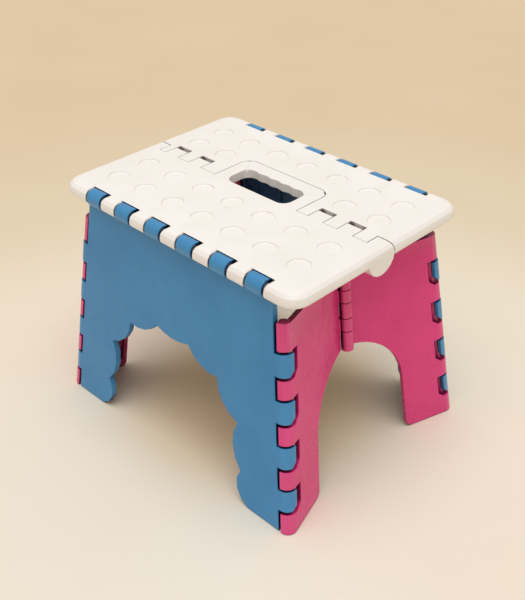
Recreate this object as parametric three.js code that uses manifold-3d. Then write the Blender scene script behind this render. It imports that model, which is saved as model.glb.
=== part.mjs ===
// Folding step stool: a two-part seat that folds about its middle line, two long side
// panels hooked to the seat's long edges, and two end walls of two hinged halves each.
// Millimetres, +Z up. The origin is the middle of the footprint on the floor.
// X runs along the fold line, and the near side of the stool is at negative Y.

import * as THREE from 'three';
import { mergeVertices } from 'three/addons/utils/BufferGeometryUtils.js';
import Module from 'manifold-3d';

const wasm = await Module();
wasm.setup();

// Seat, driving sizes
const seatHeight = 220;
const seatLength = 275;
const seatWidth = 201.8;
const seatDepth = 12;
const seatCornerRadius = 16;
const seatTopRounding = 7;
const seatLowerRounding = 3;
const seatSkin = 3;
const seatWall = 3;
const ribWall = 2;
const pocketRows = 3;
const endPocketColumns = 3;
const middlePocketColumns = 4;

// Clearances
const runningGap = 0.4;
const hookGap = 0.5;
const seamGap = 0.25;
const slitGap = 0.5;
const overrun = 4;
const lap = 1;

// Edge hinges between seat and side panels
const edgeHookCount = 6;
const edgeHookEndReach = 42.5;
const edgeHookPitch = (seatLength - 2 * edgeHookEndReach) / (edgeHookCount - 1);
const edgeHookWidth = 16.6;
const edgeHookShift = 0.6;
const edgeHookRadius = 7.7;
const edgeHookCornerRadius = 6.3;
const edgeRodRadius = 5;
const edgeRodDepth = 8;
const edgeRimReach = 7.9;
const edgeWindowStartGap = 1.6;
const edgeWindowEndGap = 2.8;
const edgeWindowGap = 1;
const edgeFlareWidth = 2.4;
const edgeFlareDepth = 4;
const edgeHookEndAngle = 55;
const edgeHookRootAngle = 300;

// Legs: every leg hinge line runs through one apex above the seat
const apexHeight = 880;
const legInset = 27;
const sideFaceInset = 0.5;
const endFoldDepth = 16.5;
const cornerHingeDepth = 7.5;
const cornerRodRadius = 3.6;

// Side panels
const sideThickness = 5.5;
const sideSkin = 2.5;
const sideFlange = 4;
const sideRibWall = 1.6;
const sideRibPitch = 36;
const sideEdgeGap = 3.4;
const archLegWidth = 38.5;
const archHalfWidth = seatLength / 2 - archLegWidth;
const archHeight = 124;
const archAcrossShares = [0.202, 0.559, 0.818, 0.884, 1];
const archUpShares = [1, 0.887, 0.637, 0.27, 0];
const archCentreBulgeShare = 0.1;
const archBulgeShares = [0.15, 0.165, 0.16, 0.25];

// Corner fingers of the side panels and their windows in the end panels
const fingerCount = 4;
const fingerStart = 59;
const fingerPitch = 41.1;
const fingerHeight = 19.5;
const fingerChamfer = 4.5;
const longTipReach = 3.6;
const shortTipReach = 2.6;
const fingerWindowTopGap = 2.2;
const fingerWindowFootGap = 2.9;
const longWindowReach = 9.2;
const shortWindowReach = 6.8;
const windowChamfer = 5.5;
const knuckleCut = 2.9;

// End panels
const endThickness = 4.5;
const endSkin = 2.2;
const endFlange = 4;
const endFaceGap = 0.3;
const endFoldInset = 2.7;
const endTopDrop = 35;
const endArchHalfWidth = 58;
const endArchRise = 58;
const endArchDrop = 168;
const endLegInset = 62;
const endFootRounding = 6;
const endBarrelRadius = 5.4;
const endBarrelTopDrop = 2;
const endKnuckleLengths = [16.3, 11.9, 14.7, 12.5, 19.5];
const endPinRadius = 1.6;

// Fold hinge under the middle of the seat
const seamOffset = 3;
const earReach = 9.8;
const earClearance = 5.1;
const earWidth = 15.6;
const earShift = -3.1;
const earSpaceShares = [0.372, 0.351];
const earTopDepth = 6;
const earRootReach = 14;
const earRadius = 4.8;
const lobeRadius = 15.2;
const lobeOffset = 3;
const lobeDepth = 7.9;
const lobeThickness = 15.6;
const foldPinRadius = 2;
const pinRecess = 1;

// Handle tongue and finger slot
const tongueHalfWidth = 48;
const tongueReach = 39;
const tongueCornerRadius = 10;
const slotHalfWidth = 35;
const slotNear = -3.5;
const slotFar = 25.5;
const slotCornerRadius = 9;
const slotWave = 1.2;
const slotWaveCount = 4;
const slotWallDepth = 7.6;

// Dimples in the seat
const dimpleRadius = 11.2;
const dimpleFloorRadius = 9.4;
const dimpleDepth = 1;
const dimplePitch = 35.4;
const dimpleColumns = 7;
const dimpleRowInner = 30.2;
const dimpleRowOuter = 63.3;

// Counts of facets
const rodSides = 10;
const barrelSides = 16;
const dimpleSides = 16;
const cornerSteps = 3;
const roundingSteps = 3;
const arcSteps = 4;
const archSteps = 10;
const waveSteps = 24;

// Colours
const seatColour = '#f1ede6';
const sideColour = '#4f93c6';
const endColour = '#cc3c72';
const steelColour = '#b9bdc2';

// Places that follow from the sizes
const radians = THREE.MathUtils.degToRad;
const edgeRodY = seatWidth / 2 - edgeRimReach;
const edgeWindowRadius = edgeHookRadius + edgeWindowGap;
const edgeWindowMouth = Math.sqrt(edgeWindowRadius ** 2 - edgeRodDepth ** 2);
const edgePocketY = edgeRodY - edgeWindowRadius - seatWall;
const edgeHookSpan = (edgeHookCount - 1) * edgeHookPitch;
const panelTopDrop = edgeHookRadius + slitGap;
const sideFaceY = edgeRodY - sideFaceInset;
const cornerX = seatLength / 2 - legInset;
const endFoldX = cornerX - endFoldDepth;
const lean = leanOfSides();
const cornerY = apexHeight * Math.tan(lean);
const floorDrop = apexHeight + seatHeight;
const cornerLine = new THREE.Vector3(cornerX, -cornerY, -apexHeight).normalize();
const endFoldLine = new THREE.Vector3(endFoldX, 0, -apexHeight).normalize();
const cornerSeatDistance = apexHeight / -cornerLine.z;
const cornerFloorDistance = floorDrop / -cornerLine.z;
const foldedLean = Math.asin(cornerHingeDepth / (0.5 * (cornerSeatDistance + cornerFloorDistance)));
const foldAxisDepth = edgeRodDepth + foldedRodOffset();
const seamY = -seamOffset;

// Lean of a side panel from upright, with its corner hinge lines and the apex in one plane
function leanOfSides() {
  const reach = Math.hypot(sideFaceY, apexHeight);
  return Math.atan2(sideFaceY, apexHeight) - Math.asin(cornerHingeDepth / reach);
}

// How far each edge rod stands from the middle plane when the stool is folded
function foldedRodOffset() {
  const drop = apexHeight + edgeRodDepth;
  const swing = Math.atan2(edgeRodY, drop) - lean + foldedLean;
  return Math.hypot(edgeRodY, drop) * Math.sin(swing);
}

// Shapes, frames and solids
function frameOf(x, y, z, origin = new THREE.Vector3()) {
  return new THREE.Matrix4().makeBasis(x, y, z).setPosition(origin);
}

function shapeOf(points) {
  return new THREE.Shape(points.map(([x, y]) => new THREE.Vector2(x, y)));
}

function solidOf(geometry, frame = new THREE.Matrix4()) {
  const bare = geometry.clone();
  bare.deleteAttribute('normal');
  bare.deleteAttribute('uv');
  const merged = mergeVertices(bare);
  merged.applyMatrix4(frame);
  return new wasm.Manifold(new wasm.Mesh({
    numProp: 3,
    vertProperties: Float32Array.from(merged.attributes.position.array),
    triVerts: Uint32Array.from(merged.index.array),
  }));
}

function geometryOf(solid) {
  const mesh = solid.getMesh();
  const geometry = new THREE.BufferGeometry();
  geometry.setAttribute('position', new THREE.BufferAttribute(Float32Array.from(mesh.vertProperties), 3));
  geometry.setIndex(Array.from(mesh.triVerts));
  geometry.computeVertexNormals();
  return geometry;
}

// A mirrored copy, with its triangles turned round so that its faces still point out
function mirrored(geometry, signX, signY) {
  const copy = geometry.clone().scale(signX, signY, 1);
  if (signX * signY < 0) {
    const index = copy.index.array;
    for (let i = 0; i < index.length; i += 3) {
      [index[i], index[i + 1]] = [index[i + 1], index[i]];
    }
  }
  copy.computeVertexNormals();
  return copy;
}

function prism(shape, from, to, frame) {
  const settings = { depth: to - from, bevelEnabled: false, curveSegments: cornerSteps };
  const geometry = new THREE.ExtrudeGeometry(shape, settings);
  return solidOf(geometry.translate(0, 0, from), frame);
}

function box(x0, x1, y0, y1, z0, z1, frame) {
  const geometry = new THREE.BoxGeometry(x1 - x0, y1 - y0, z1 - z0);
  return solidOf(geometry.translate((x0 + x1) / 2, (y0 + y1) / 2, (z0 + z1) / 2), frame);
}

// A round bar or cone along the frame's Z
function bar(radiusFrom, radiusTo, from, to, sides, frame) {
  const geometry = new THREE.CylinderGeometry(radiusTo, radiusFrom, to - from, sides);
  return solidOf(geometry.rotateX(Math.PI / 2).translate(0, 0, (from + to) / 2), frame);
}

function joined(solids) {
  return solids.reduce((whole, piece) => whole.add(piece));
}

function cut(solid, cutters) {
  return cutters.reduce((whole, cutter) => whole.subtract(cutter), solid);
}

function roundedRectangle(x0, x1, y0, y1, radius) {
  const shape = new THREE.Shape();
  shape.moveTo(x0 + radius, y0);
  shape.lineTo(x1 - radius, y0);
  shape.absarc(x1 - radius, y0 + radius, radius, -Math.PI / 2, 0);
  shape.absarc(x1 - radius, y1 - radius, radius, 0, Math.PI / 2);
  shape.absarc(x0 + radius, y1 - radius, radius, Math.PI / 2, Math.PI);
  shape.absarc(x0 + radius, y0 + radius, radius, Math.PI, 1.5 * Math.PI);
  return shape;
}

// Points of a circular arc from one point to another that bulges to the right of its chord
function arcPoints(from, to, bulgeShare) {
  const chord = new THREE.Vector2(to[0] - from[0], to[1] - from[1]);
  const half = 2 * Math.atan(2 * bulgeShare);
  const radius = chord.length() / 2 / Math.sin(half);
  const side = new THREE.Vector2(chord.y, -chord.x).normalize();
  const middle = [(from[0] + to[0]) / 2, (from[1] + to[1]) / 2];
  const toCentre = -radius * Math.cos(half);
  const centre = [middle[0] + side.x * toCentre, middle[1] + side.y * toCentre];
  const start = Math.atan2(from[1] - centre[1], from[0] - centre[0]);
  const points = [];
  for (let i = 1; i <= arcSteps; i += 1) {
    const angle = start + 2 * half * i / arcSteps;
    points.push([centre[0] + radius * Math.cos(angle), centre[1] + radius * Math.sin(angle)]);
  }
  return points;
}

function mesh(name, geometry, colour, roughness, metalness = 0) {
  const material = new THREE.MeshStandardMaterial({ color: colour, roughness, metalness });
  const part = new THREE.Mesh(geometry, material);
  part.name = name;
  return part;
}

// Seat, in a frame whose origin is the middle of the seat's surface

// The seat's outline with one rounded edge, at the top or at the bottom of its height
function roundedSlab(rounding, from, to) {
  const inner = roundedRectangle(
    -seatLength / 2 + rounding, seatLength / 2 - rounding,
    -seatWidth / 2 + rounding, seatWidth / 2 - rounding,
    seatCornerRadius - rounding,
  );
  const geometry = new THREE.ExtrudeGeometry(inner, {
    depth: to - from - 2 * rounding,
    bevelEnabled: true,
    bevelThickness: rounding,
    bevelSize: rounding,
    bevelSegments: roundingSteps,
    curveSegments: cornerSteps,
  });
  return solidOf(geometry.translate(0, 0, from + rounding));
}

// The seat's outer form, closed above, running down past the fold hinge's lobes
const seatForm = roundedSlab(seatTopRounding, -2 * (foldAxisDepth + earRadius), 0);

function seatBlank() {
  return seatForm.intersect(roundedSlab(seatLowerRounding, -seatDepth, seatDepth));
}

const alongX = frameOf(new THREE.Vector3(0, 1, 0), new THREE.Vector3(0, 0, 1), new THREE.Vector3(1, 0, 0));

// Left edge of each hook along the seat
function edgeHookStarts() {
  const first = edgeHookShift - (edgeHookSpan + edgeHookWidth) / 2;
  return Array.from({ length: edgeHookCount }, (_, i) => first + i * edgeHookPitch);
}

// The frame of the rod in the seat's long edge, at the side given by its sign
function edgeRodFrame(side) {
  return frameOf(
    new THREE.Vector3(0, 1, 0), new THREE.Vector3(0, 0, 1), new THREE.Vector3(1, 0, 0),
    new THREE.Vector3(0, side * edgeRodY, -edgeRodDepth),
  );
}

// Rounds a window's end over into the seat's surface. The end faces along X with the given sign.
function edgeFlare(x, sign, side) {
  const shape = new THREE.Shape();
  shape.moveTo(-lap, lap);
  shape.lineTo(-lap, -edgeFlareDepth);
  shape.lineTo(0, -edgeFlareDepth);
  const [width, depth] = [edgeFlareWidth, edgeFlareDepth];
  shape.absellipse(width, -depth, width, depth, Math.PI, Math.PI / 2, true);
  shape.lineTo(edgeFlareWidth, lap);
  const frame = frameOf(
    new THREE.Vector3(sign, 0, 0), new THREE.Vector3(0, 0, 1), new THREE.Vector3(0, -sign, 0),
    new THREE.Vector3(x, 0, 0),
  );
  const reach = [edgeRodY - edgeWindowMouth, seatWidth / 2 + overrun].map((y) => -sign * side * y);
  return prism(shape, Math.min(...reach), Math.max(...reach), frame);
}

// The windows in which the hooks turn: round the rod on the inside, open outwards and below
function edgeWindows(side) {
  const outer = side * (seatWidth / 2 + overrun);
  const [rodFrom, rodTo] = [side * edgeRodY, outer].sort((a, b) => a - b);
  const [lowFrom, lowTo] = [side * (edgeRodY - edgeWindowRadius), outer].sort((a, b) => a - b);
  return edgeHookStarts().flatMap((start) => {
    const from = start - edgeWindowStartGap;
    const to = start + edgeHookWidth + edgeWindowEndGap;
    return [
      bar(edgeWindowRadius, edgeWindowRadius, from, to, barrelSides, edgeRodFrame(side)),
      box(from, to, rodFrom, rodTo, -seatDepth - overrun, overrun),
      box(from, to, lowFrom, lowTo, -seatDepth - overrun, -edgeRodDepth),
      edgeFlare(from, -1, side),
      edgeFlare(to, 1, side),
    ];
  });
}

// The rod along the seat's long edge, flat below where the seat's underside is
function edgeRod(side) {
  const half = edgeHookSpan / 2 + edgeHookWidth / 2 + edgeWindowEndGap + lap;
  const rod = bar(edgeRodRadius, edgeRodRadius, -half, half, rodSides, edgeRodFrame(side));
  return rod.intersect(box(-half, half, -seatWidth / 2, seatWidth / 2, -seatDepth, 0));
}

// Moulded pockets under the seat, with the ribs standing between them
function pockets(x0, x1, columns, y0, y1, rows) {
  const stepX = (x1 - x0 + ribWall) / columns;
  const stepY = (y1 - y0 + ribWall) / rows;
  const cells = [];
  for (let i = 0; i < columns; i += 1) {
    for (let j = 0; j < rows; j += 1) {
      const x = x0 + i * stepX;
      const y = y0 + j * stepY;
      cells.push(box(x, x + stepX - ribWall, y, y + stepY - ribWall, -seatDepth - overrun, -seatSkin));
    }
  }
  return cells;
}

function dimples(rows) {
  const cutters = [];
  for (let i = 0; i < dimpleColumns; i += 1) {
    for (const y of rows) {
      const x = (i - (dimpleColumns - 1) / 2) * dimplePitch;
      if (y < 0 || y - dimpleRadius > tongueReach || Math.abs(x) - dimpleRadius > tongueHalfWidth) {
        const frame = new THREE.Matrix4().makeTranslation(x, y, 0);
        const wide = 2 * dimpleRadius - dimpleFloorRadius;
        cutters.push(bar(dimpleFloorRadius, wide, -dimpleDepth, dimpleDepth, dimpleSides, frame));
      }
    }
  }
  return cutters;
}

// The handle tongue of the near half, grown by a margin for its recess in the far half
function tongue(grow) {
  const half = tongueHalfWidth + grow;
  const near = seamY - seatWall - tongueCornerRadius;
  const shape = roundedRectangle(-half, half, near, tongueReach + grow, tongueCornerRadius + grow);
  return prism(shape, -seatDepth - overrun, grow < 0 ? -seatSkin : overrun);
}

// The finger slot, its far edge waved for the fingers
function slotShape(grow) {
  const radius = slotCornerRadius + grow;
  const x = slotHalfWidth + grow - radius;
  const near = slotNear - grow;
  const far = slotFar + grow;
  const shape = new THREE.Shape();
  shape.moveTo(-x, near);
  shape.lineTo(x, near);
  shape.absarc(x, near + radius, radius, -Math.PI / 2, 0);
  shape.absarc(x, far - radius, radius, 0, Math.PI / 2);
  for (let i = 1; i < waveSteps; i += 1) {
    const turn = 2 * Math.PI * slotWaveCount * i / waveSteps;
    shape.lineTo(x - 2 * x * i / waveSteps, far - slotWave * (1 - Math.cos(turn)) / 2);
  }
  shape.absarc(-x, far - radius, radius, Math.PI / 2, Math.PI);
  shape.absarc(-x, near + radius, radius, Math.PI, 1.5 * Math.PI);
  return shape;
}

// Where the near half's hinge ears start along the fold line, on both sides of the tongue. The
// shares part what the two ears leave free between the tongue and the lobe.
function earStarts() {
  const free = seatLength / 2 - lobeThickness - tongueHalfWidth - 2 * earWidth;
  const first = tongueHalfWidth + earSpaceShares[0] * free;
  const right = [first, first + earWidth + earSpaceShares[1] * free];
  return [...right, ...right.map((start) => -start - earWidth)].map((start) => start + earShift);
}

// The far half's ears fill the room between the near half's ears and lobes
function farEarSpans() {
  const [first, second, third, fourth] = earStarts();
  return [
    [first + earWidth + slitGap, second - slitGap],
    [second + earWidth + slitGap, foldPinOuter + pinRecess],
    [fourth + earWidth + slitGap, third - slitGap],
    [-foldPinOuter - pinRecess, fourth - slitGap],
  ];
}

// Side view of an ear of the near half
function nearEarShape() {
  const shape = new THREE.Shape();
  shape.moveTo(seamY - earRootReach, 0);
  shape.lineTo(seamY - earRootReach, -seatDepth);
  shape.lineTo(-earRadius, -foldAxisDepth);
  shape.absarc(0, -foldAxisDepth, earRadius, Math.PI, 2 * Math.PI);
  shape.lineTo(earReach, -earTopDepth);
  shape.lineTo(earReach, 0);
  return shape;
}

// Side view of an ear of the far half
function farEarShape() {
  const edge = seamY + seamGap;
  const shape = new THREE.Shape();
  shape.moveTo(edge, 0);
  shape.lineTo(edge, earRadius + lap - foldAxisDepth);
  shape.lineTo(-earRadius, -foldAxisDepth);
  shape.absarc(0, -foldAxisDepth, earRadius, Math.PI, 2 * Math.PI);
  shape.lineTo(earReach + earClearance + seatWall, -seatDepth);
  shape.lineTo(earReach + earClearance + seatWall, 0);
  return shape;
}

// The rounded lobes at the ends of the fold line, which the near half carries
function lobes(grow) {
  const frame = frameOf(
    new THREE.Vector3(0, 1, 0), new THREE.Vector3(0, 0, 1), new THREE.Vector3(1, 0, 0),
    new THREE.Vector3(0, -lobeOffset, -lobeDepth),
  );
  const inner = seatLength / 2 - lobeThickness - grow;
  const outer = seatLength / 2 + overrun;
  const radius = lobeRadius + grow;
  return [
    bar(radius, radius, inner, outer, barrelSides, frame),
    bar(radius, radius, -outer, -inner, barrelSides, frame),
  ];
}

const foldAxisFrame = frameOf(
  new THREE.Vector3(0, 1, 0), new THREE.Vector3(0, 0, 1), new THREE.Vector3(1, 0, 0),
  new THREE.Vector3(0, 0, -foldAxisDepth),
);
const foldPinOuter = seatLength / 2 - lobeThickness - slitGap - pinRecess;

// A round bar on the fold axis through the ears of one side, longer by a margin at both ends
function foldBar(side, radius, margin) {
  const [first, , third] = earStarts();
  const inner = side > 0 ? first : -third - earWidth;
  const [from, to] = [side * (inner - margin), side * (foldPinOuter + margin)].sort((a, b) => a - b);
  return bar(radius, radius, from, to, rodSides, foldAxisFrame);
}

function foldBores() {
  return [1, -1].map((side) => foldBar(side, foldPinRadius + runningGap, pinRecess));
}

function nearHalf() {
  const inside = seatWidth / 2 + overrun;
  const beyond = seatLength / 2 + overrun;
  const edge = box(-beyond, beyond, -inside, seamY, -seatDepth - overrun, overrun);
  let half = seatBlank().intersect(edge.add(tongue(0)));
  const innerX = tongueHalfWidth + seatWall;
  const middleX = innerX - ribWall;
  const outerX = seatLength / 2 - seatWall;
  const innerY = seamY - seatWall;
  half = cut(half, [
    ...pockets(innerX, outerX, endPocketColumns, -edgePocketY, innerY, pocketRows),
    ...pockets(-outerX, -innerX, endPocketColumns, -edgePocketY, innerY, pocketRows),
    ...pockets(-middleX, middleX, middlePocketColumns, -edgePocketY, innerY, pocketRows),
    tongue(-seatWall),
    ...edgeWindows(-1),
  ]);
  const ears = earStarts().map((start) => prism(nearEarShape(), start, start + earWidth, alongX));
  const slotWall = prism(slotShape(seatWall), -slotWallDepth, -seatSkin + lap);
  const seamWall = box(-innerX, innerX, innerY, seamY, -seatDepth, -seatSkin + lap);
  const endLobes = lobes(0).map((lobe) => lobe.intersect(seatForm));
  half = joined([half, ...ears, slotWall, seamWall, edgeRod(-1), ...endLobes]);
  return cut(half, [
    prism(slotShape(0), -seatDepth - overrun, overrun),
    ...foldBores(),
    ...dimples([-dimpleRowInner, -dimpleRowOuter]),
  ]);
}

function farHalf() {
  const inside = seatWidth / 2 + overrun;
  const beyond = seatLength / 2 + overrun;
  const nearSide = box(-beyond, beyond, -inside, seamY + seamGap, -seatDepth - overrun, overrun);
  const lowest = -foldAxisDepth - earRadius - overrun;
  const earRoom = earStarts().map((start) => box(
    start - slitGap, start + earWidth + slitGap, seamY - overrun, earReach + earClearance, lowest, overrun,
  ));
  const innerX = tongueHalfWidth + slitGap + seatWall;
  const middleX = innerX - ribWall;
  const outerX = seatLength / 2 - seatWall;
  const rowStart = earReach + earClearance + seatWall;
  const middleStart = tongueReach + slitGap + seatWall;
  const middleRows = pocketRows - 1;
  let half = cut(seatBlank(), [
    ...pockets(innerX, outerX, endPocketColumns, rowStart, edgePocketY, pocketRows),
    ...pockets(-outerX, -innerX, endPocketColumns, rowStart, edgePocketY, pocketRows),
    ...pockets(-middleX, middleX, middlePocketColumns, middleStart, edgePocketY, middleRows),
    ...edgeWindows(1),
  ]);
  const ears = farEarSpans().map(([from, to]) => prism(farEarShape(), from, to, alongX));
  half = joined([cut(half, [nearSide]), ...ears, edgeRod(1)]);
  return cut(half, [
    ...earRoom,
    tongue(slitGap),
    ...lobes(slitGap),
    ...foldBores(),
    ...dimples([dimpleRowInner, dimpleRowOuter]),
  ]);
}

function foldPin(side) {
  return foldBar(side, foldPinRadius, 0);
}

// Legs, in a frame whose origin is the apex. The solids are those of the near right corner.

const across = new THREE.Vector3(1, 0, 0);
const sideDown = new THREE.Vector3(0, -Math.sin(lean), -Math.cos(lean));
const sideInward = new THREE.Vector3(0, Math.cos(lean), -Math.sin(lean));
const sideFrame = frameOf(across, sideDown, sideInward);
const hookFrame = frameOf(sideInward, sideDown.clone().negate(), across);
const cornerOutward = sideInward.clone().cross(cornerLine).negate();
const cornerFrame = frameOf(cornerOutward, sideInward.clone().negate(), cornerLine);
const cornerSlope = cornerLine.x / cornerLine.dot(sideDown);
const edgeRodDown = edgeRodY * Math.sin(lean) + (apexHeight + edgeRodDepth) * Math.cos(lean);
const edgeRodInward = (apexHeight + edgeRodDepth) * Math.sin(lean) - edgeRodY * Math.cos(lean);
const sideOuterFace = -cornerHingeDepth;
const sideInnerFace = sideOuterFace + sideThickness;
const sideTop = edgeRodDown + panelTopDrop;
const sideFloor = (floorDrop - sideOuterFace * Math.sin(lean)) / Math.cos(lean);

// Everything under the floor, for cutting the feet flat
function ground() {
  const wide = seatLength + seatWidth;
  return box(-wide, wide, -wide, wide, -floorDrop - wide, -floorDrop);
}

// The scalloped arch of a side panel from its right foot over the top to its left foot
function archPoints(margin) {
  const right = archAcrossShares.map((share, i) => [
    share * (archHalfWidth + margin),
    sideFloor - archUpShares[i] * (archHeight + margin),
  ]);
  const points = [right[right.length - 1]];
  for (let i = right.length - 1; i > 0; i -= 1) {
    points.push(...arcPoints(right[i], right[i - 1], archBulgeShares[i - 1]));
  }
  points.push(...arcPoints(right[0], [-right[0][0], right[0][1]], archCentreBulgeShare));
  for (let i = 1; i < right.length; i += 1) {
    points.push(...arcPoints(
      [-right[i - 1][0], right[i - 1][1]], [-right[i][0], right[i][1]], archBulgeShares[i - 1],
    ));
  }
  return points;
}

// Outline of a side panel, drawn in by a margin for the pocket behind its flange
function sideOutline(margin) {
  const edge = (down) => down * cornerSlope - (sideEdgeGap + margin) / Math.cos(Math.atan(cornerSlope));
  const top = sideTop + margin;
  const foot = margin > 0 ? sideFloor - margin : sideFloor + overrun;
  const arch = archPoints(margin).filter(([, y]) => margin === 0 || y < foot);
  const toes = margin > 0 ? [] : [[archHalfWidth, foot]];
  return shapeOf([
    [-edge(top), top],
    [-edge(foot), foot],
    ...toes.map(([x, y]) => [-x, y]),
    ...arch.reverse(),
    ...toes,
    [edge(foot), foot],
    [edge(top), top],
  ]);
}

function sidePocket() {
  const ribs = [];
  for (let x = -archHalfWidth; x <= archHalfWidth; x += sideRibPitch) {
    ribs.push(box(x, x + sideRibWall, sideTop, sideFloor, sideOuterFace, sideInnerFace + overrun, sideFrame));
  }
  const room = prism(sideOutline(sideFlange), sideOuterFace + sideSkin, sideInnerFace + overrun, sideFrame);
  return cut(room, ribs);
}

// Side view of a hook that goes round the seat's edge rod from below
function edgeHookShape() {
  const inner = edgeRodRadius + hookGap;
  const end = radians(edgeHookEndAngle);
  const root = radians(edgeHookRootAngle);
  const corner = edgeHookRadius - edgeHookCornerRadius;
  const shape = new THREE.Shape();
  shape.absarc(0, 0, edgeHookRadius, end, Math.PI / 2, false);
  shape.absarc(-corner, corner, edgeHookCornerRadius, Math.PI / 2, Math.PI, false);
  shape.absarc(0, 0, edgeHookRadius, Math.PI, root, false);
  shape.lineTo(inner * Math.cos(root), inner * Math.sin(root));
  shape.absarc(0, 0, inner, root, end, true);
  return shape;
}

function edgeHooks() {
  const offset = new THREE.Matrix4().makeTranslation(edgeRodInward, -edgeRodDown, 0);
  const frame = hookFrame.clone().multiply(offset);
  const outer = sideOuterFace - edgeRodInward;
  const inner = sideInnerFace - edgeRodInward;
  const root = edgeHookRadius * Math.sin(radians(edgeHookRootAngle));
  return edgeHookStarts().flatMap((start) => [
    prism(edgeHookShape(), start, start + edgeHookWidth, frame),
    box(outer, inner, -panelTopDrop - lap, root, start, start + edgeHookWidth, frame),
  ]);
}

// Plan of a corner finger: it leaves the panel, turns round the corner rod and ends in a straight tip
function fingerShape(tipReach) {
  const inner = cornerRodRadius + runningGap;
  const shape = new THREE.Shape();
  shape.moveTo(-sideEdgeGap - sideFlange, cornerHingeDepth);
  shape.lineTo(0, cornerHingeDepth);
  shape.absarc(0, 0, cornerHingeDepth, Math.PI / 2, 0, true);
  shape.lineTo(cornerHingeDepth, -tipReach);
  shape.lineTo(inner, -tipReach);
  shape.lineTo(inner, 0);
  shape.absarc(0, 0, inner, 0, Math.PI / 2, false);
  shape.lineTo(-sideEdgeGap - sideFlange, inner);
  return shape;
}

// Distances from the apex along the corner line at which each finger starts and ends
function fingerSpans() {
  return Array.from({ length: fingerCount }, (_, i) => {
    const from = cornerSeatDistance + fingerStart + i * fingerPitch;
    return [from, from + fingerHeight];
  });
}

// A wedge across the corner at the given reach and end, whose legs have the given length
function cornerWedge(reach, end, leg, frame) {
  const far = 2 * cornerHingeDepth;
  const spare = Math.SQRT2 * overrun;
  const shape = shapeOf([
    [-reach - overrun, end - leg - overrun],
    [-reach + leg + spare, end + spare],
    [-reach + leg + spare, end + spare + overrun],
    [-reach - overrun, end + spare + overrun],
  ]);
  return prism(shape, -lap, far, frame);
}

// The frame of a plan seen along the given frame's X, drawn in its Y and Z
function alongOutward(frame) {
  const [x, y, z] = [new THREE.Vector3(), new THREE.Vector3(), new THREE.Vector3()];
  frame.extractBasis(x, y, z);
  return frameOf(y, z, x);
}

function fingers(tipReach) {
  const frame = alongOutward(cornerFrame);
  return fingerSpans().map(([from, to]) => cut(
    prism(fingerShape(tipReach), from, to, cornerFrame),
    [cornerWedge(tipReach, to, fingerChamfer, frame)],
  ));
}

// A side panel whose right and left fingers have the given tips
function sidePanel(rightTip, leftTip) {
  const left = fingers(leftTip).map((finger) => solidOf(mirrored(geometryOf(finger), -1, 1)));
  const plate = prism(sideOutline(0), sideOuterFace, sideInnerFace, sideFrame);
  const whole = joined([cut(plate, [sidePocket()]), ...edgeHooks(), ...fingers(rightTip), ...left]);
  return cut(whole, [ground()]);
}

// End panels. The outer face lies on a plane through the apex. The corner hinge line runs
// behind that plane, so far that the halves meet when folded, and the middle one before it.
const endPlane = endPanelPlane();
const endFrame = frameOf(endPlane.toCorner, endPlane.down, endPlane.outward);
const endCornerOut = endPlane.outward.clone()
  .addScaledVector(cornerLine, -endPlane.outward.dot(cornerLine)).normalize();
const endCornerFrame = frameOf(endCornerOut, cornerLine.clone().cross(endCornerOut), cornerLine);
const endCornerSlope = cornerLine.dot(endPlane.toCorner) / cornerLine.dot(endPlane.down);
const endTop = (apexHeight + endTopDrop) / -endPlane.down.z;
const endArchLevel = (apexHeight + endArchDrop) / -endPlane.down.z;
const endFloor = floorDrop / -endPlane.down.z;
const endOuterFace = -endFaceGap;
const endInnerFace = endOuterFace - endThickness;
const endEdge = endBarrelRadius + runningGap;
const endBarrelTop = endTop + endBarrelTopDrop;
const endBarrelLength = endKnuckleLengths.reduce((sum, length) => sum + length);

function endPanelPlane() {
  const toward = cornerLine.clone().addScaledVector(endFoldLine, -cornerLine.dot(endFoldLine));
  const spread = toward.length();
  toward.normalize();
  const normal = toward.clone().cross(endFoldLine);
  const before = endFoldInset / cornerSeatDistance;
  const along = (-Math.sin(foldedLean) - before * cornerLine.dot(endFoldLine)) / spread;
  const outward = normal.clone().multiplyScalar(Math.sqrt(1 - before ** 2 - along ** 2))
    .addScaledVector(endFoldLine, before).addScaledVector(toward, along);
  const down = endFoldLine.clone().addScaledVector(outward, -before).normalize();
  return { down, outward, toCorner: down.clone().cross(outward) };
}

// Outline of half an end panel, drawn in by a margin for the pocket behind its flange
function endOutline(margin) {
  const corner = (down) => down * endCornerSlope - (margin > 0 ? longWindowReach + margin : 0);
  const left = endEdge + margin;
  const top = endTop + margin;
  const foot = margin > 0 ? endFloor - margin : endFloor + overrun;
  const halfWidth = endArchHalfWidth + margin;
  const rise = endArchRise + margin;
  const shape = new THREE.Shape();
  shape.moveTo(left, top);
  const last = Math.acos(left / halfWidth);
  for (let i = 0; i <= archSteps; i += 1) {
    const angle = last * (1 - i / archSteps);
    shape.lineTo(halfWidth * Math.cos(angle), endArchLevel - rise * Math.sin(angle));
  }
  const innerFoot = endLegInset + margin;
  shape.lineTo(innerFoot, foot - endFootRounding);
  shape.lineTo(innerFoot + endFootRounding, foot);
  shape.lineTo(corner(foot), foot);
  shape.lineTo(corner(top), top);
  return shape;
}

// Distances from the apex at which the knuckles of the middle hinge start and end
function endKnuckleSpans() {
  let from = endBarrelTop;
  return endKnuckleLengths.map((length) => {
    const span = [from, from + length];
    from += length;
    return span;
  });
}

const endBarrelOutward = endPlane.toCorner.clone().cross(endFoldLine).normalize();
const endBarrelFrame = frameOf(endBarrelOutward, endFoldLine.clone().cross(endBarrelOutward), endFoldLine);

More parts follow.
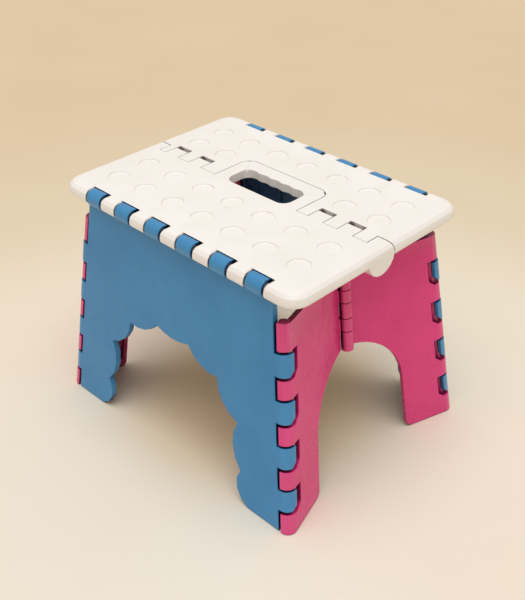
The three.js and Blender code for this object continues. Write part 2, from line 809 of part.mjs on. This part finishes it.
function endKnuckle([from, to]) {
  const start = from + slitGap / 2;
  const end = to - slitGap / 2;
  const webEnd = Math.min(end, endArchLevel - endArchRise);
  const web = box(-endBarrelRadius, -endFoldInset, 0, endEdge + lap, start, webEnd, endBarrelFrame);
  return bar(endBarrelRadius, endBarrelRadius, start, end, barrelSides, endBarrelFrame).add(web);
}

function endBore() {
  const radius = endPinRadius + runningGap;
  const end = endBarrelTop + endBarrelLength + overrun;
  return bar(radius, radius, endBarrelTop - overrun, end, rodSides, endBarrelFrame);
}

// Rounded corner of an end panel: a slim cone round the corner rod, open on its inner side
function cornerKnuckles() {
  const reach = (distance) => distance * Math.sin(foldedLean) - endFaceGap;
  const top = endTop / endPlane.down.dot(cornerLine);
  const bottom = cornerFloorDistance + overrun;
  const cone = bar(reach(top), reach(bottom), top, bottom, barrelSides, endCornerFrame);
  const far = 2 * cornerHingeDepth;
  return cone.intersect(box(-knuckleCut, far, -lap, far, top, bottom, endCornerFrame));
}

function fingerWindows(reach) {
  const far = 2 * cornerHingeDepth;
  const frame = alongOutward(endCornerFrame);
  return fingerSpans().map(([from, to]) => cut(
    box(
      -far, far, -reach, far,
      from - fingerWindowTopGap, to + fingerWindowFootGap, endCornerFrame,
    ),
    [cornerWedge(reach, to + fingerWindowFootGap, windowChamfer, frame)],
  ));
}

// A lip of the wall that closes its half of the room behind the middle hinge's knuckles
function endLip() {
  const face = endFoldInset - endBarrelRadius - runningGap;
  const crown = endArchLevel - endArchRise;
  return box(slitGap / 2, endEdge + lap, endTop, crown, endInnerFace, face, endFrame);
}

// Half an end panel, with the middle hinge knuckles whose places in the row are given
function endHalf(rows, windows) {
  const plate = prism(endOutline(0), endInnerFace, endOuterFace, endFrame).add(endLip());
  const pocket = prism(endOutline(endFlange), endInnerFace - overrun, endOuterFace - endSkin, endFrame);
  const wall = cut(joined([plate, cornerKnuckles()]), [pocket, ...windows]);
  const rodTop = endTop / endPlane.down.dot(cornerLine);
  const rodEnd = cornerFloorDistance + overrun;
  const rod = bar(cornerRodRadius, cornerRodRadius, rodTop, rodEnd, rodSides, endCornerFrame);
  const knuckles = rows.map((row) => endKnuckle(endKnuckleSpans()[row]));
  return cut(joined([wall, rod, ...knuckles]), [endBore(), ground()]);
}

function endPin() {
  const from = endBarrelTop + pinRecess;
  const to = endBarrelTop + endBarrelLength - pinRecess;
  return bar(endPinRadius, endPinRadius, from, to, rodSides, endBarrelFrame);
}

// Assembly
const nearSidePanel = geometryOf(sidePanel(longTipReach, shortTipReach));
const farSidePanel = geometryOf(sidePanel(shortTipReach, longTipReach));
const nearEndHalf = geometryOf(endHalf([1, 3], fingerWindows(longWindowReach)));
const farEndHalf = geometryOf(endHalf([0, 2, 4], fingerWindows(shortWindowReach)));
const endPinRight = geometryOf(endPin());

const seat = new THREE.Group();
seat.position.z = seatHeight;
seat.add(
  mesh('seat_half_with_handle', geometryOf(nearHalf()), seatColour, 0.45),
  mesh('seat_half_far', geometryOf(farHalf()), seatColour, 0.45),
  mesh('fold_pin_right', geometryOf(foldPin(1)), steelColour, 0.3, 0.9),
  mesh('fold_pin_left', geometryOf(foldPin(-1)), steelColour, 0.3, 0.9),
);

const legs = new THREE.Group();
legs.position.z = floorDrop;
legs.add(
  mesh('side_panel_near', nearSidePanel, sideColour, 0.45),
  mesh('side_panel_far', mirrored(farSidePanel, 1, -1), sideColour, 0.45),
  mesh('end_right_near_half', nearEndHalf, endColour, 0.45),
  mesh('end_right_far_half', mirrored(farEndHalf, 1, -1), endColour, 0.45),
  mesh('end_left_near_half', mirrored(farEndHalf, -1, 1), endColour, 0.45),
  mesh('end_left_far_half', mirrored(nearEndHalf, -1, -1), endColour, 0.45),
  mesh('end_pin_right', endPinRight, steelColour, 0.3, 0.9),
  mesh('end_pin_left', mirrored(endPinRight, -1, 1), steelColour, 0.3, 0.9),
);

const stool = new THREE.Group();
stool.add(seat, legs);

export default stool;
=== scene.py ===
import math

import bmesh
import bpy
from mathutils import Matrix, Vector
from mathutils.bvhtree import BVHTree
from mathutils.kdtree import KDTree


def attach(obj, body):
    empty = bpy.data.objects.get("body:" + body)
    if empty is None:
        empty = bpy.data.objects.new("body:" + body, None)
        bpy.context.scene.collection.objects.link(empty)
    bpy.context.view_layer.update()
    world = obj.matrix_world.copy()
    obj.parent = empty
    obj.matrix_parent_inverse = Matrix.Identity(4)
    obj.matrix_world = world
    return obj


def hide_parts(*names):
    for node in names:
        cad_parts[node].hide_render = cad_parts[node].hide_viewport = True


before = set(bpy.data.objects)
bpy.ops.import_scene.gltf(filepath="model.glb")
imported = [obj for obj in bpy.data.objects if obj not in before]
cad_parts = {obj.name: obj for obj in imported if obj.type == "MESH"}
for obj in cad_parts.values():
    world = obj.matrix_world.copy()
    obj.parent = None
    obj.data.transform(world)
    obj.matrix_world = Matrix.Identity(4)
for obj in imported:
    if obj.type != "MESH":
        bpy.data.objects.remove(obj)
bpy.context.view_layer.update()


# Camera, fitted to a frame of 525 by 600 pixels. Lengths are in metres here and below.

AZIMUTH = math.radians(44.92)
ELEVATION = math.radians(33.90)
ROLL = math.radians(-0.616)
SEAT_CENTRE = Vector((0, 0, 0.22))
SEAT_SEEN_AT = Vector((-0.005001, 0.092142, 0.78656))
FOCAL_PIXELS, LONG_SIDE_PIXELS, SENSOR_MM = 936.36, 600, 36
CLIP_NEAR, CLIP_FAR = 0.02, 60

forward = Vector((-math.sin(AZIMUTH) * math.cos(ELEVATION),
                  math.cos(AZIMUTH) * math.cos(ELEVATION),
                  -math.sin(ELEVATION)))
level_right = forward.cross(Vector((0, 0, 1))).normalized()
level_up = level_right.cross(forward)
right = math.cos(ROLL) * level_right + math.sin(ROLL) * level_up
up = math.cos(ROLL) * level_up - math.sin(ROLL) * level_right

camera_data = bpy.data.cameras.new("camera")
camera_data.sensor_width = SENSOR_MM
camera_data.lens = SENSOR_MM * FOCAL_PIXELS / LONG_SIDE_PIXELS
camera_data.clip_start, camera_data.clip_end = CLIP_NEAR, CLIP_FAR
camera = bpy.data.objects.new("camera", camera_data)
camera.matrix_world = Matrix((right, up, -forward)).transposed().to_4x4()
camera.location = (SEAT_CENTRE - SEAT_SEEN_AT.x * right - SEAT_SEEN_AT.y * up
                   - SEAT_SEEN_AT.z * forward)
bpy.context.scene.collection.objects.link(camera)
bpy.context.scene.camera = camera


# Node helpers. The Mix node has its colours in the sockets of these numbers.

MIX_FIRST, MIX_SECOND, MIX_RESULT = 6, 7, 2
OPENNESS_SAMPLES = 8


def linear(red, green, blue):
    """A colour for a socket from its three values of 0 to 255 as a screen shows them."""
    def channel(value):
        share = value / 255
        return share / 12.92 if share <= 0.04045 else ((share + 0.055) / 1.055) ** 2.4
    return (channel(red), channel(green), channel(blue), 1)


def new_material(name):
    """A material with one Principled shader on its output."""
    material = bpy.data.materials.new(name)
    material.use_nodes = True
    nodes, links = material.node_tree.nodes, material.node_tree.links
    nodes.clear()
    output = nodes.new("ShaderNodeOutputMaterial")
    shader = nodes.new("ShaderNodeBsdfPrincipled")
    links.new(shader.outputs["BSDF"], output.inputs["Surface"])
    return material, nodes, links, shader


def object_place(nodes, links, scale=(1, 1, 1)):
    """The place on the object, stretched along its axes."""
    place = nodes.new("ShaderNodeTexCoord")
    mapping = nodes.new("ShaderNodeMapping")
    mapping.inputs["Scale"].default_value = scale
    links.new(place.outputs["Object"], mapping.inputs["Vector"])
    return mapping.outputs["Vector"]


def noise(nodes, links, place, scale, detail=4.0, roughness=0.5, distortion=0.0):
    """Cloudy noise from 0 to 1 at a place."""
    node = nodes.new("ShaderNodeTexNoise")
    node.inputs["Scale"].default_value = scale
    node.inputs["Detail"].default_value = detail
    node.inputs["Roughness"].default_value = roughness
    node.inputs["Distortion"].default_value = distortion
    links.new(place, node.inputs["Vector"])
    return node.outputs["Fac"]


def spread(nodes, links, value, low_in, high_in, low_out, high_out):
    """A value whose span from low_in to high_in becomes low_out to high_out."""
    node = nodes.new("ShaderNodeMapRange")
    for key, number in zip(("From Min", "From Max", "To Min", "To Max"),
                           (low_in, high_in, low_out, high_out)):
        node.inputs[key].default_value = number
    links.new(value, node.inputs["Value"])
    return node.outputs["Result"]


def blended(nodes, links, factor, first, second):
    """Two colours, each a socket or plain values, mixed by a factor."""
    node = nodes.new("ShaderNodeMix")
    node.data_type = "RGBA"
    links.new(factor, node.inputs["Factor"])
    for number, colour in ((MIX_FIRST, first), (MIX_SECOND, second)):
        if isinstance(colour, tuple):
            node.inputs[number].default_value = colour
        else:
            links.new(colour, node.inputs[number])
    return node.outputs[MIX_RESULT]


def calculated(nodes, links, operation, *values):
    """The result of a Math node on sockets or plain numbers."""
    node = nodes.new("ShaderNodeMath")
    node.operation = operation
    for socket, value in zip(node.inputs, values):
        if isinstance(value, (int, float)):
            socket.default_value = value
        else:
            links.new(value, socket)
    return node.outputs[0]


def openness(nodes, reach):
    """The open share of what lies around a point of the surface within reach."""
    node = nodes.new("ShaderNodeAmbientOcclusion")
    node.samples = OPENNESS_SAMPLES
    node.inputs["Distance"].default_value = reach
    return node.outputs["AO"]


def bumped(nodes, links, height, strength, distance, normal=None):
    """The normal of a surface that a height raises by up to the distance."""
    node = nodes.new("ShaderNodeBump")
    node.inputs["Strength"].default_value = strength
    node.inputs["Distance"].default_value = distance
    links.new(height, node.inputs["Height"])
    if normal is not None:
        links.new(normal, node.inputs["Normal"])
    return node.outputs["Normal"]


# Moulded plastic: a cloudy tint, pale scuffs and worn edges, painted shade in gaps, in the
# windows behind the seat's ears and on enclosed faces, and a wavy and finely grained gloss.
# A noise is its scale, detail, roughness and distortion.

# Painted shade: reaches and spans of the darkening of gaps, of faces inside the stool and of
# the windows behind the seat's ears
GAP_REACH, INSIDE_REACH = 0.006, 0.2
INSIDE_FROM, INSIDE_TO, INSIDE_SHARE = 0.26, 0.50, 0.92
WINDOWS_FROM_X, WINDOWS_Y, WINDOWS_HALF = 0.045, 0.0135, 0.006
WINDOWS_FROM, WINDOWS_TO = 0.50, 0.78
CLOUD_NOISE, CLOUD_FROM, CLOUD_TO = (26, 3), 0.32, 0.68
STREAK_STRETCH, STREAK_NOISE = (3.5, 26, 8), (34, 6, 0.62, 0.4)
SCUFF_FROM, SCUFF_TO = 0.63, 0.72
DULL_FROM, DULL_TO, DULL_MORE = 0.60, 0.75, 0.14
EDGE_FROM, EDGE_TO, EDGE_SHARE = 0.53, 0.62, 0.45
PATCH_NOISE, PATCH_FROM, PATCH_TO = (75, 5, 0.6), 0.3, 0.7
PATCH_LESS, PATCH_MORE = 0.05, 0.09
WAVE_NOISE, WAVE_STRENGTH = (42, 2, 0.4), 0.55
GRAIN_NOISE, GRAIN_STRENGTH, GRAIN_HEIGHT = (1500, 3, 0.6), 0.28, 0.00008
PLASTIC_IOR, PLASTIC_SPECULAR = 1.49, 0.5


def in_windows(nodes, links):
    """1 in the strip of the windows behind the seat's hinge ears, where shade is painted, and
    0 elsewhere.
    """
    place = nodes.new("ShaderNodeTexCoord")
    apart = nodes.new("ShaderNodeSeparateXYZ")
    links.new(place.outputs["Object"], apart.inputs[0])
    side = calculated(nodes, links, "ABSOLUTE", apart.outputs["X"])
    beyond = calculated(nodes, links, "GREATER_THAN", side, WINDOWS_FROM_X)
    strip = calculated(nodes, links, "COMPARE", apart.outputs["Y"], WINDOWS_Y, WINDOWS_HALF)
    return calculated(nodes, links, "MULTIPLY", beyond, strip)


def plastic(name, colour, deep, worn, gap_painted_shades, roughness, waves, scuffs, window_painted_shade=None,
            inside_painted_shade=None):
    """A plastic with painted shade; each gap's shade comes in as the openness sinks from high
    to low.
    """
    material, nodes, links, shader = new_material(name)
    place = object_place(nodes, links)
    cloud = noise(nodes, links, place, *CLOUD_NOISE)
    tint = spread(nodes, links, cloud, CLOUD_FROM, CLOUD_TO, 0, 1)
    base = blended(nodes, links, tint, deep, colour)
    streak_place = object_place(nodes, links, STREAK_STRETCH)
    streak = noise(nodes, links, streak_place, *STREAK_NOISE)
    scuff = spread(nodes, links, streak, SCUFF_FROM, SCUFF_TO, 0, scuffs)
    base = blended(nodes, links, scuff, base, worn)
    pointed = nodes.new("ShaderNodeNewGeometry").outputs["Pointiness"]
    edge = spread(nodes, links, pointed, EDGE_FROM, EDGE_TO, 0, EDGE_SHARE)
    base = blended(nodes, links, edge, base, worn)
    # Painted shade: darker in gaps and hollows, the more closed in they are
    gap_open = openness(nodes, GAP_REACH)
    for low, high, shade in gap_painted_shades:
        share = spread(nodes, links, gap_open, low, high, 1, 0)
        base = blended(nodes, links, share, base, shade)
    # Painted shade: the walls in the windows behind the seat's ears darkened
    if window_painted_shade:
        closed = spread(nodes, links, gap_open, WINDOWS_FROM, WINDOWS_TO, 1, 0)
        painted_window_shade = calculated(nodes, links, "MULTIPLY", closed, in_windows(nodes, links))
        base = blended(nodes, links, painted_window_shade, base, window_painted_shade)
    # Painted shade: faces enclosed inside the stool dimmed, the more closed in they are
    if inside_painted_shade:
        inside_open = openness(nodes, INSIDE_REACH)
        share = spread(nodes, links, inside_open, INSIDE_FROM, INSIDE_TO, INSIDE_SHARE, 0)
        base = blended(nodes, links, share, base, inside_painted_shade)
    links.new(base, shader.inputs["Base Color"])
    patches = noise(nodes, links, place, *PATCH_NOISE)
    patch = spread(nodes, links, patches, PATCH_FROM, PATCH_TO,
                   roughness - PATCH_LESS, roughness + PATCH_MORE)
    dull = spread(nodes, links, streak, DULL_FROM, DULL_TO, 0, DULL_MORE)
    links.new(calculated(nodes, links, "ADD", patch, dull), shader.inputs["Roughness"])
    wave = noise(nodes, links, place, *WAVE_NOISE)
    grain = noise(nodes, links, place, *GRAIN_NOISE)
    wavy = bumped(nodes, links, wave, WAVE_STRENGTH, waves)
    grainy = bumped(nodes, links, grain, GRAIN_STRENGTH, GRAIN_HEIGHT, wavy)
    links.new(grainy, shader.inputs["Normal"])
    shader.inputs["IOR"].default_value = PLASTIC_IOR
    shader.inputs["Specular IOR Level"].default_value = PLASTIC_SPECULAR
    return material


# Pin steel: brushed round its axis

BRUSH_STRETCH, BRUSH_NOISE = (12, 12, 1), (900, 4, 0.7)
BRUSH_FROM, BRUSH_TO, BRUSH_SMOOTH, BRUSH_ROUGH = 0.3, 0.7, 0.24, 0.42
BRUSH_STRENGTH, BRUSH_HEIGHT = 0.3, 0.00005
DARK_STEEL, PALE_STEEL = linear(150, 152, 156), linear(196, 198, 201)


def steel(name):
    """Brushed steel of two greys."""
    material, nodes, links, shader = new_material(name)
    place = object_place(nodes, links, BRUSH_STRETCH)
    brush = noise(nodes, links, place, *BRUSH_NOISE)
    share = spread(nodes, links, brush, BRUSH_FROM, BRUSH_TO, 0, 1)
    base = blended(nodes, links, share, DARK_STEEL, PALE_STEEL)
    links.new(base, shader.inputs["Base Color"])
    dull = spread(nodes, links, brush, BRUSH_FROM, BRUSH_TO, BRUSH_SMOOTH, BRUSH_ROUGH)
    links.new(dull, shader.inputs["Roughness"])
    grooved = bumped(nodes, links, brush, BRUSH_STRENGTH, BRUSH_HEIGHT)
    links.new(grooved, shader.inputs["Normal"])
    shader.inputs["Metallic"].default_value = 1.0
    return material


# The gap, window and inside colours of these looks are painted shade
LOOKS = {
    "seat_plastic": plastic(
        "seat_plastic_look", linear(247, 244, 241), linear(243, 240, 236),
        linear(251, 249, 247),
        gap_painted_shades=((0.40, 0.66, linear(176, 156, 140)), (0.24, 0.54, linear(62, 44, 30))),
        roughness=0.36, waves=0.0005, scuffs=0.30, window_painted_shade=linear(84, 62, 44)),
    "side_plastic": plastic(
        "side_plastic_look", linear(52, 138, 196), linear(45, 131, 189),
        linear(118, 180, 222),
        gap_painted_shades=((0.40, 0.66, linear(20, 50, 104)), (0.24, 0.50, linear(6, 10, 40))),
        roughness=0.30, waves=0.0014, scuffs=0.22, inside_painted_shade=linear(12, 28, 62)),
    "end_plastic": plastic(
        "end_plastic_look", linear(230, 54, 134), linear(221, 46, 125),
        linear(238, 128, 170),
        gap_painted_shades=((0.42, 0.66, linear(112, 12, 62)), (0.28, 0.54, linear(26, 4, 36))),
        roughness=0.27, waves=0.0016, scuffs=0.22, inside_painted_shade=linear(92, 12, 52)),
    "pin_steel": steel("pin_steel_look"),
}


# Side panels: the wall gets thinner towards the edge of the arch, and the hooks stand a
# little proud of the seat

ARCH_HALF_WIDTH, ARCH_CROWN, ARCH_EDGE = 0.1005, 0.128, 0.0028
ARCH_ACROSS, ARCH_OUTER, ARCH_INNER = 0.1, 0.1, 0.9
HOOK_SHOULDER, HOOK_RISE = 0.2179, 0.2


def slim_arch_edge(mesh):
    """Thin a side panel's wall towards the edge of its arch."""
    face = max(mesh.faces, key=lambda candidate: candidate.calc_area())
    outward, level = face.normal.copy(), face.normal.dot(face.verts[0].co)
    depth = {vert: level - outward.dot(vert.co) for vert in mesh.verts}
    thickness = max(depth[vert] for vert in mesh.verts if vert.co.z < ARCH_CROWN)
    outer, inner = ARCH_OUTER * thickness, ARCH_INNER * thickness
    moved = set()
    for wall in mesh.faces:
        middle = wall.calc_center_median()
        depths = [depth[vert] for vert in wall.verts]
        if (abs(middle.x) < ARCH_HALF_WIDTH and middle.z < ARCH_CROWN
                and abs(wall.normal.dot(outward)) < ARCH_ACROSS
                and min(depths) < outer and max(depths) > inner):
            moved.update(vert for vert in wall.verts if depth[vert] > inner)
    for vert in moved:
        vert.co += outward * (depth[vert] - ARCH_EDGE)


def lift_hooks(mesh):
    """Raise what lies above the hooks' shoulder by a share of its height over it."""
    for vert in mesh.verts:
        vert.co.z += HOOK_RISE * max(vert.co.z - HOOK_SHOULDER, 0)


# Seat halves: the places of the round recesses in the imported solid, each with the row that
# it has here, and the steep walls that they get

RECESS_COLUMNS, RECESS_PITCH = 7, 0.0354
RECESS_ROWS = {-0.0633: -0.0623, -0.0302: -0.0284, 0.0302: 0.0311, 0.0633: 0.0623}
RECESS_RADIUS, RECESS_FLOOR_RADIUS, RECESS_SLACK = 0.0112, 0.0094, 0.0002
RIM_RADIUS, FOOT_RADIUS, RECESS_DEPTH = 0.0096, 0.0092, 0.0014
TOP_SLACK = 0.0001


def steepen_recesses(mesh):
    """Turn the conical walls of the seat's recesses into steep ones."""
    top = max(vert.co.z for vert in mesh.verts)
    upper = [vert for vert in mesh.verts if vert.co.z > top - 2 * RECESS_DEPTH]
    for column in range(RECESS_COLUMNS):
        x = (column - (RECESS_COLUMNS - 1) / 2) * RECESS_PITCH
        for row, new_row in RECESS_ROWS.items():
            rim = Vector((x, new_row, top))
            foot = Vector((x, new_row, top - RECESS_DEPTH))
            for vert in upper:
                out = Vector((vert.co.x - x, vert.co.y - row, 0))
                if (abs(out.length - RECESS_RADIUS) < RECESS_SLACK
                        and vert.co.z > top - TOP_SLACK):
                    vert.co = rim + RIM_RADIUS * out.normalized()
                elif abs(out.length - RECESS_FLOOR_RADIUS) < RECESS_SLACK:
                    vert.co = foot + FOOT_RADIUS * out.normalized()


# Rounding of the edges: each piece is rounded anew with its edges' weights eased near the
# faults of the last try, and what still stands off its surface is laid on it

WELD, FLAT_WITHIN = 0.00002, math.radians(0.6)
ROUND_SEGMENTS, ROUNDING_TRIES = 2, 12
FAR_SHARE, SPECK_AREA, TURNED_BELOW = 0.6, 2e-8, 0.3
FAULT_REACH, EASED = 2.5, 0.6
LEAST_LENGTH_SQUARED = 1e-12
QUAD_CORNERS = 4
SMOOTH_TO = math.radians(38)


def faults(trial, tree, radius):
    """Places where a rounding left the first surface or turned a face over."""
    places = [vert.co.copy() for vert in trial.verts
              if tree.find_nearest(vert.co)[3] > FAR_SHARE * radius]
    for face in trial.faces:
        if face.calc_area() > SPECK_AREA:
            normal = tree.find_nearest(face.calc_center_median())[1]
            if face.normal.dot(normal) < TURNED_BELOW:
                short = min(face.edges, key=lambda edge: edge.calc_length())
                places.extend(vert.co.copy() for vert in short.verts)
    return places


def near_any(edge, places, reach):
    """Whether one of the places in the tree lies within reach of the edge."""
    first, second = (vert.co for vert in edge.verts)
    along = second - first
    for place, _, _ in places.find_range((first + second) / 2, along.length / 2 + reach):
        share = (place - first).dot(along) / max(along.length_squared, LEAST_LENGTH_SQUARED)
        if (first + min(max(share, 0), 1) * along - place).length < reach:
            return True
    return False


def triangulated(mesh):
    """The mesh with its faces of more corners than a quad cut into triangles."""
    large = [face for face in mesh.faces if len(face.verts) > QUAD_CORNERS]
    bmesh.ops.triangulate(mesh, faces=large, quad_method="BEAUTY", ngon_method="BEAUTY")
    mesh.normal_update()
    return mesh


def packed_copy(node):
    """A clean copy of a node's mesh with the forms that its kind gets here."""
    mesh = bmesh.new()
    mesh.from_mesh(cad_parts[node].data)
    bmesh.ops.remove_doubles(mesh, verts=mesh.verts, dist=WELD)
    bmesh.ops.dissolve_limit(mesh, angle_limit=FLAT_WITHIN, verts=mesh.verts,
                             edges=mesh.edges, use_dissolve_boundaries=False)
    if node.startswith("side_panel"):
        slim_arch_edge(mesh)
        lift_hooks(mesh)
    if node.startswith("seat_half"):
        steepen_recesses(mesh)
    mesh.normal_update()
    return mesh


def rounded(node, radius, sharp):
    """A copy of a node whose sharp edges are rounded as far as each has room."""
    name = node + "_moulded"
    mesh = packed_copy(node)
    tree = BVHTree.FromBMesh(triangulated(mesh.copy()))
    weight = mesh.edges.layers.float.new("bevel_weight_edge")
    sharp_edges = [edge for edge in mesh.edges if len(edge.link_faces) == 2
                   and edge.calc_face_angle(0) > math.radians(sharp)]
    for edge in sharp_edges:
        edge[weight] = 1.0
    data = bpy.data.meshes.new(name)
    piece = bpy.data.objects.new(name, data)
    bpy.context.scene.collection.objects.link(piece)
    rounding = piece.modifiers.new("rounding", "BEVEL")
    rounding.width, rounding.segments = radius, ROUND_SEGMENTS
    rounding.limit_method, rounding.miter_outer = "WEIGHT", "MITER_SHARP"
    rounding.use_clamp_overlap = rounding.loop_slide = False
    for turn in range(ROUNDING_TRIES):
        mesh.to_mesh(data)
        data.update()
        depsgraph = bpy.context.evaluated_depsgraph_get()
        depsgraph.update()
        trial = bmesh.new()
        trial.from_object(piece, depsgraph)
        triangulated(trial)
        found = faults(trial, tree, radius)
        if not found or turn == ROUNDING_TRIES - 1:
            break
        trial.free()
        places = KDTree(len(found))
        for index, place in enumerate(found):
            places.insert(place, index)
        places.balance()
        for edge in sharp_edges:
            if near_any(edge, places, FAULT_REACH * radius):
                edge[weight] *= EASED
    for vert in trial.verts:
        nearest, _, _, distance = tree.find_nearest(vert.co)
        if distance > FAR_SHARE * radius:
            vert.co = nearest
    piece.modifiers.remove(rounding)
    trial.to_mesh(data)
    trial.free()
    mesh.free()
    data.shade_smooth()
    data.set_sharp_from_angle(angle=SMOOTH_TO)
    even = piece.modifiers.new("even_normals", "WEIGHTED_NORMAL")
    even.mode = "FACE_AREA"
    even.keep_sharp = True
    return piece


# Pieces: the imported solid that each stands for, its body, its finish, the radius of its
# edges, and the angle in degrees from which an edge is rounded

SEAT_EDGE, WALL_EDGE, PIN_EDGE = (0.0004, 26), (0.0004, 32), (0.0003, 38)
PIECES = (
    ("seat_half_with_handle", "seat_near", "seat_plastic", SEAT_EDGE),
    ("seat_half_far", "seat_far", "seat_plastic", SEAT_EDGE),
    ("side_panel_near", "side_near", "side_plastic", WALL_EDGE),
    ("side_panel_far", "side_far", "side_plastic", WALL_EDGE),
    ("end_right_near_half", "end_right_near", "end_plastic", WALL_EDGE),
    ("end_right_far_half", "end_right_far", "end_plastic", WALL_EDGE),
    ("end_left_near_half", "end_left_near", "end_plastic", WALL_EDGE),
    ("end_left_far_half", "end_left_far", "end_plastic", WALL_EDGE),
    ("fold_pin_right", "seat_near", "pin_steel", PIN_EDGE),
    ("fold_pin_left", "seat_near", "pin_steel", PIN_EDGE),
    ("end_pin_right", "end_right_near", "pin_steel", PIN_EDGE),
    ("end_pin_left", "end_left_near", "pin_steel", PIN_EDGE),
)

for node, body, slot, (radius, sharp) in PIECES:
    piece = rounded(node, radius, sharp)
    piece.data.materials.clear()
    piece.data.materials.append(LOOKS[slot])
    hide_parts(node)
    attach(piece, body)


# Floor: painted light, paler round a point, painted shade as a warm tint under the stool, and
# seen from above only

FLOOR_RADIUS, FLOOR_SIDES, FLOOR_DROP = 9.0, 96, 0.0002
# Painted light on the floor: its colours get paler towards this point
PAINTED_LIGHT_CENTRE = (0.2, -0.2, 0)
FLOOR_AND_PAINTED_LIGHT_COLOURS = ((0.0, (240, 234, 222)), (0.30, (239, 230, 214)), (0.48, (237, 226, 208)),
                 (0.72, (224, 208, 180)), (1.0, (219, 198, 166)))
# Painted shade on the floor: a warm tint under the stool, where its shadow falls
UNDER_STOOL_PAINTED_SHADE = ((0.0, (255, 233, 203)), (0.06, (255, 236, 209)), (0.16, (255, 255, 255)))
MOTTLE_NOISE, MOTTLE_FROM, MOTTLE_TO, MOTTLE_SHARE = (5, 3), 0.3, 0.7, 0.2
MOTTLE_COLOUR = linear(233, 217, 190)
FLOOR_ROUGHNESS, FLOOR_SPECULAR = 0.9, 0.1


def distance_colour(nodes, links, centre, stops):
    """A colour by distance in metres from a point of the floor."""
    place = nodes.new("ShaderNodeTexCoord")
    length = nodes.new("ShaderNodeVectorMath")
    length.operation = "DISTANCE"
    links.new(place.outputs["Object"], length.inputs[0])
    length.inputs[1].default_value = centre
    ramp = nodes.new("ShaderNodeValToRGB")
    ramp.color_ramp.interpolation = "EASE"
    elements = ramp.color_ramp.elements
    while len(elements) < len(stops):
        elements.new(0.5)
    for element, (spot, colour) in zip(elements, stops):
        element.position = spot
        element.color = linear(*colour)
    links.new(length.outputs["Value"], ramp.inputs["Fac"])
    return ramp.outputs["Color"]


def floor_material():
    """The floor's mottled colours with painted light round a point and painted shade under
    the stool on its upper side, and nothing on its lower.
    """
    material, nodes, links, shader = new_material("floor_look")
    floor_light_and_shade = nodes.new("ShaderNodeMix")
    floor_light_and_shade.data_type, floor_light_and_shade.blend_type = "RGBA", "MULTIPLY"
    floor_light_and_shade.inputs["Factor"].default_value = 1
    # Painted light: the floor is paler round a point and fades to the backdrop's colour
    links.new(distance_colour(nodes, links, PAINTED_LIGHT_CENTRE, FLOOR_AND_PAINTED_LIGHT_COLOURS),
              floor_light_and_shade.inputs[MIX_FIRST])
    # Painted shade: a warm tint on the floor under the stool
    links.new(distance_colour(nodes, links, (0, 0, 0), UNDER_STOOL_PAINTED_SHADE),
              floor_light_and_shade.inputs[MIX_SECOND])
    cloud = noise(nodes, links, object_place(nodes, links), *MOTTLE_NOISE)
    mottle = spread(nodes, links, cloud, MOTTLE_FROM, MOTTLE_TO, 0, MOTTLE_SHARE)
    base = blended(nodes, links, mottle, floor_light_and_shade.outputs[MIX_RESULT], MOTTLE_COLOUR)
    links.new(base, shader.inputs["Base Color"])
    shader.inputs["Roughness"].default_value = FLOOR_ROUGHNESS
    shader.inputs["Specular IOR Level"].default_value = FLOOR_SPECULAR
    side = nodes.new("ShaderNodeNewGeometry")
    clear = nodes.new("ShaderNodeBsdfTransparent")
    one_sided = nodes.new("ShaderNodeMixShader")
    output = next(node for node in nodes if node.type == "OUTPUT_MATERIAL")
    links.new(side.outputs["Backfacing"], one_sided.inputs["Fac"])
    links.new(shader.outputs["BSDF"], one_sided.inputs[1])
    links.new(clear.outputs["BSDF"], one_sided.inputs[2])
    links.new(one_sided.outputs["Shader"], output.inputs["Surface"])
    return material


turns = [math.tau * number / FLOOR_SIDES for number in range(FLOOR_SIDES)]
floor_data = bpy.data.meshes.new("floor")
floor_data.from_pydata([(FLOOR_RADIUS * math.cos(turn), FLOOR_RADIUS * math.sin(turn), 0)
                        for turn in turns], [], [range(FLOOR_SIDES)])
floor_data.materials.append(floor_material())
floor = bpy.data.objects.new("floor", floor_data)
floor.location.z = -FLOOR_DROP
bpy.context.scene.collection.objects.link(floor)


# World: a warm, even light on everything, and a plain backdrop for the camera, for gloss
# and through glass

LIGHT_COLOUR, LIGHT_STRENGTH = (1.0, 0.95, 0.885, 1), 0.5
BACKDROP_COLOUR, BACKDROP_STRENGTH = linear(219, 200, 169), 1.0

world = bpy.data.worlds.new("studio")
bpy.context.scene.world = world
world.use_nodes = True
sky, sky_links = world.node_tree.nodes, world.node_tree.links
sky.clear()
sky_out = sky.new("ShaderNodeOutputWorld")
lit, seen = sky.new("ShaderNodeBackground"), sky.new("ShaderNodeBackground")
for background, colour, strength in ((lit, LIGHT_COLOUR, LIGHT_STRENGTH),
                                     (seen, BACKDROP_COLOUR, BACKDROP_STRENGTH)):
    background.inputs["Color"].default_value = colour
    background.inputs["Strength"].default_value = strength
path = sky.new("ShaderNodeLightPath")
shown = path.outputs["Is Camera Ray"]
for ray in ("Is Glossy Ray", "Is Transmission Ray"):
    shown = calculated(sky, sky_links, "MAXIMUM", shown, path.outputs[ray])
choice = sky.new("ShaderNodeMixShader")
sky_links.new(shown, choice.inputs["Fac"])
sky_links.new(lit.outputs["Background"], choice.inputs[1])
sky_links.new(seen.outputs["Background"], choice.inputs[2])
sky_links.new(choice.outputs["Shader"], sky_out.inputs["Surface"])


# Key light: broad and soft, from a little to the right and in front

KEY_STRENGTH, KEY_ANGLE, KEY_FROM = 1.72, math.radians(55), Vector((0.12, -0.14, 1))

key_data = bpy.data.lights.new("key", "SUN")
key_data.energy = KEY_STRENGTH
key_data.angle = KEY_ANGLE
key = bpy.data.objects.new("key", key_data)
key.rotation_euler = KEY_FROM.to_track_quat("Z", "Y").to_euler()
bpy.context.scene.collection.objects.link(key)

bpy.context.scene.view_settings.view_transform = "Standard"
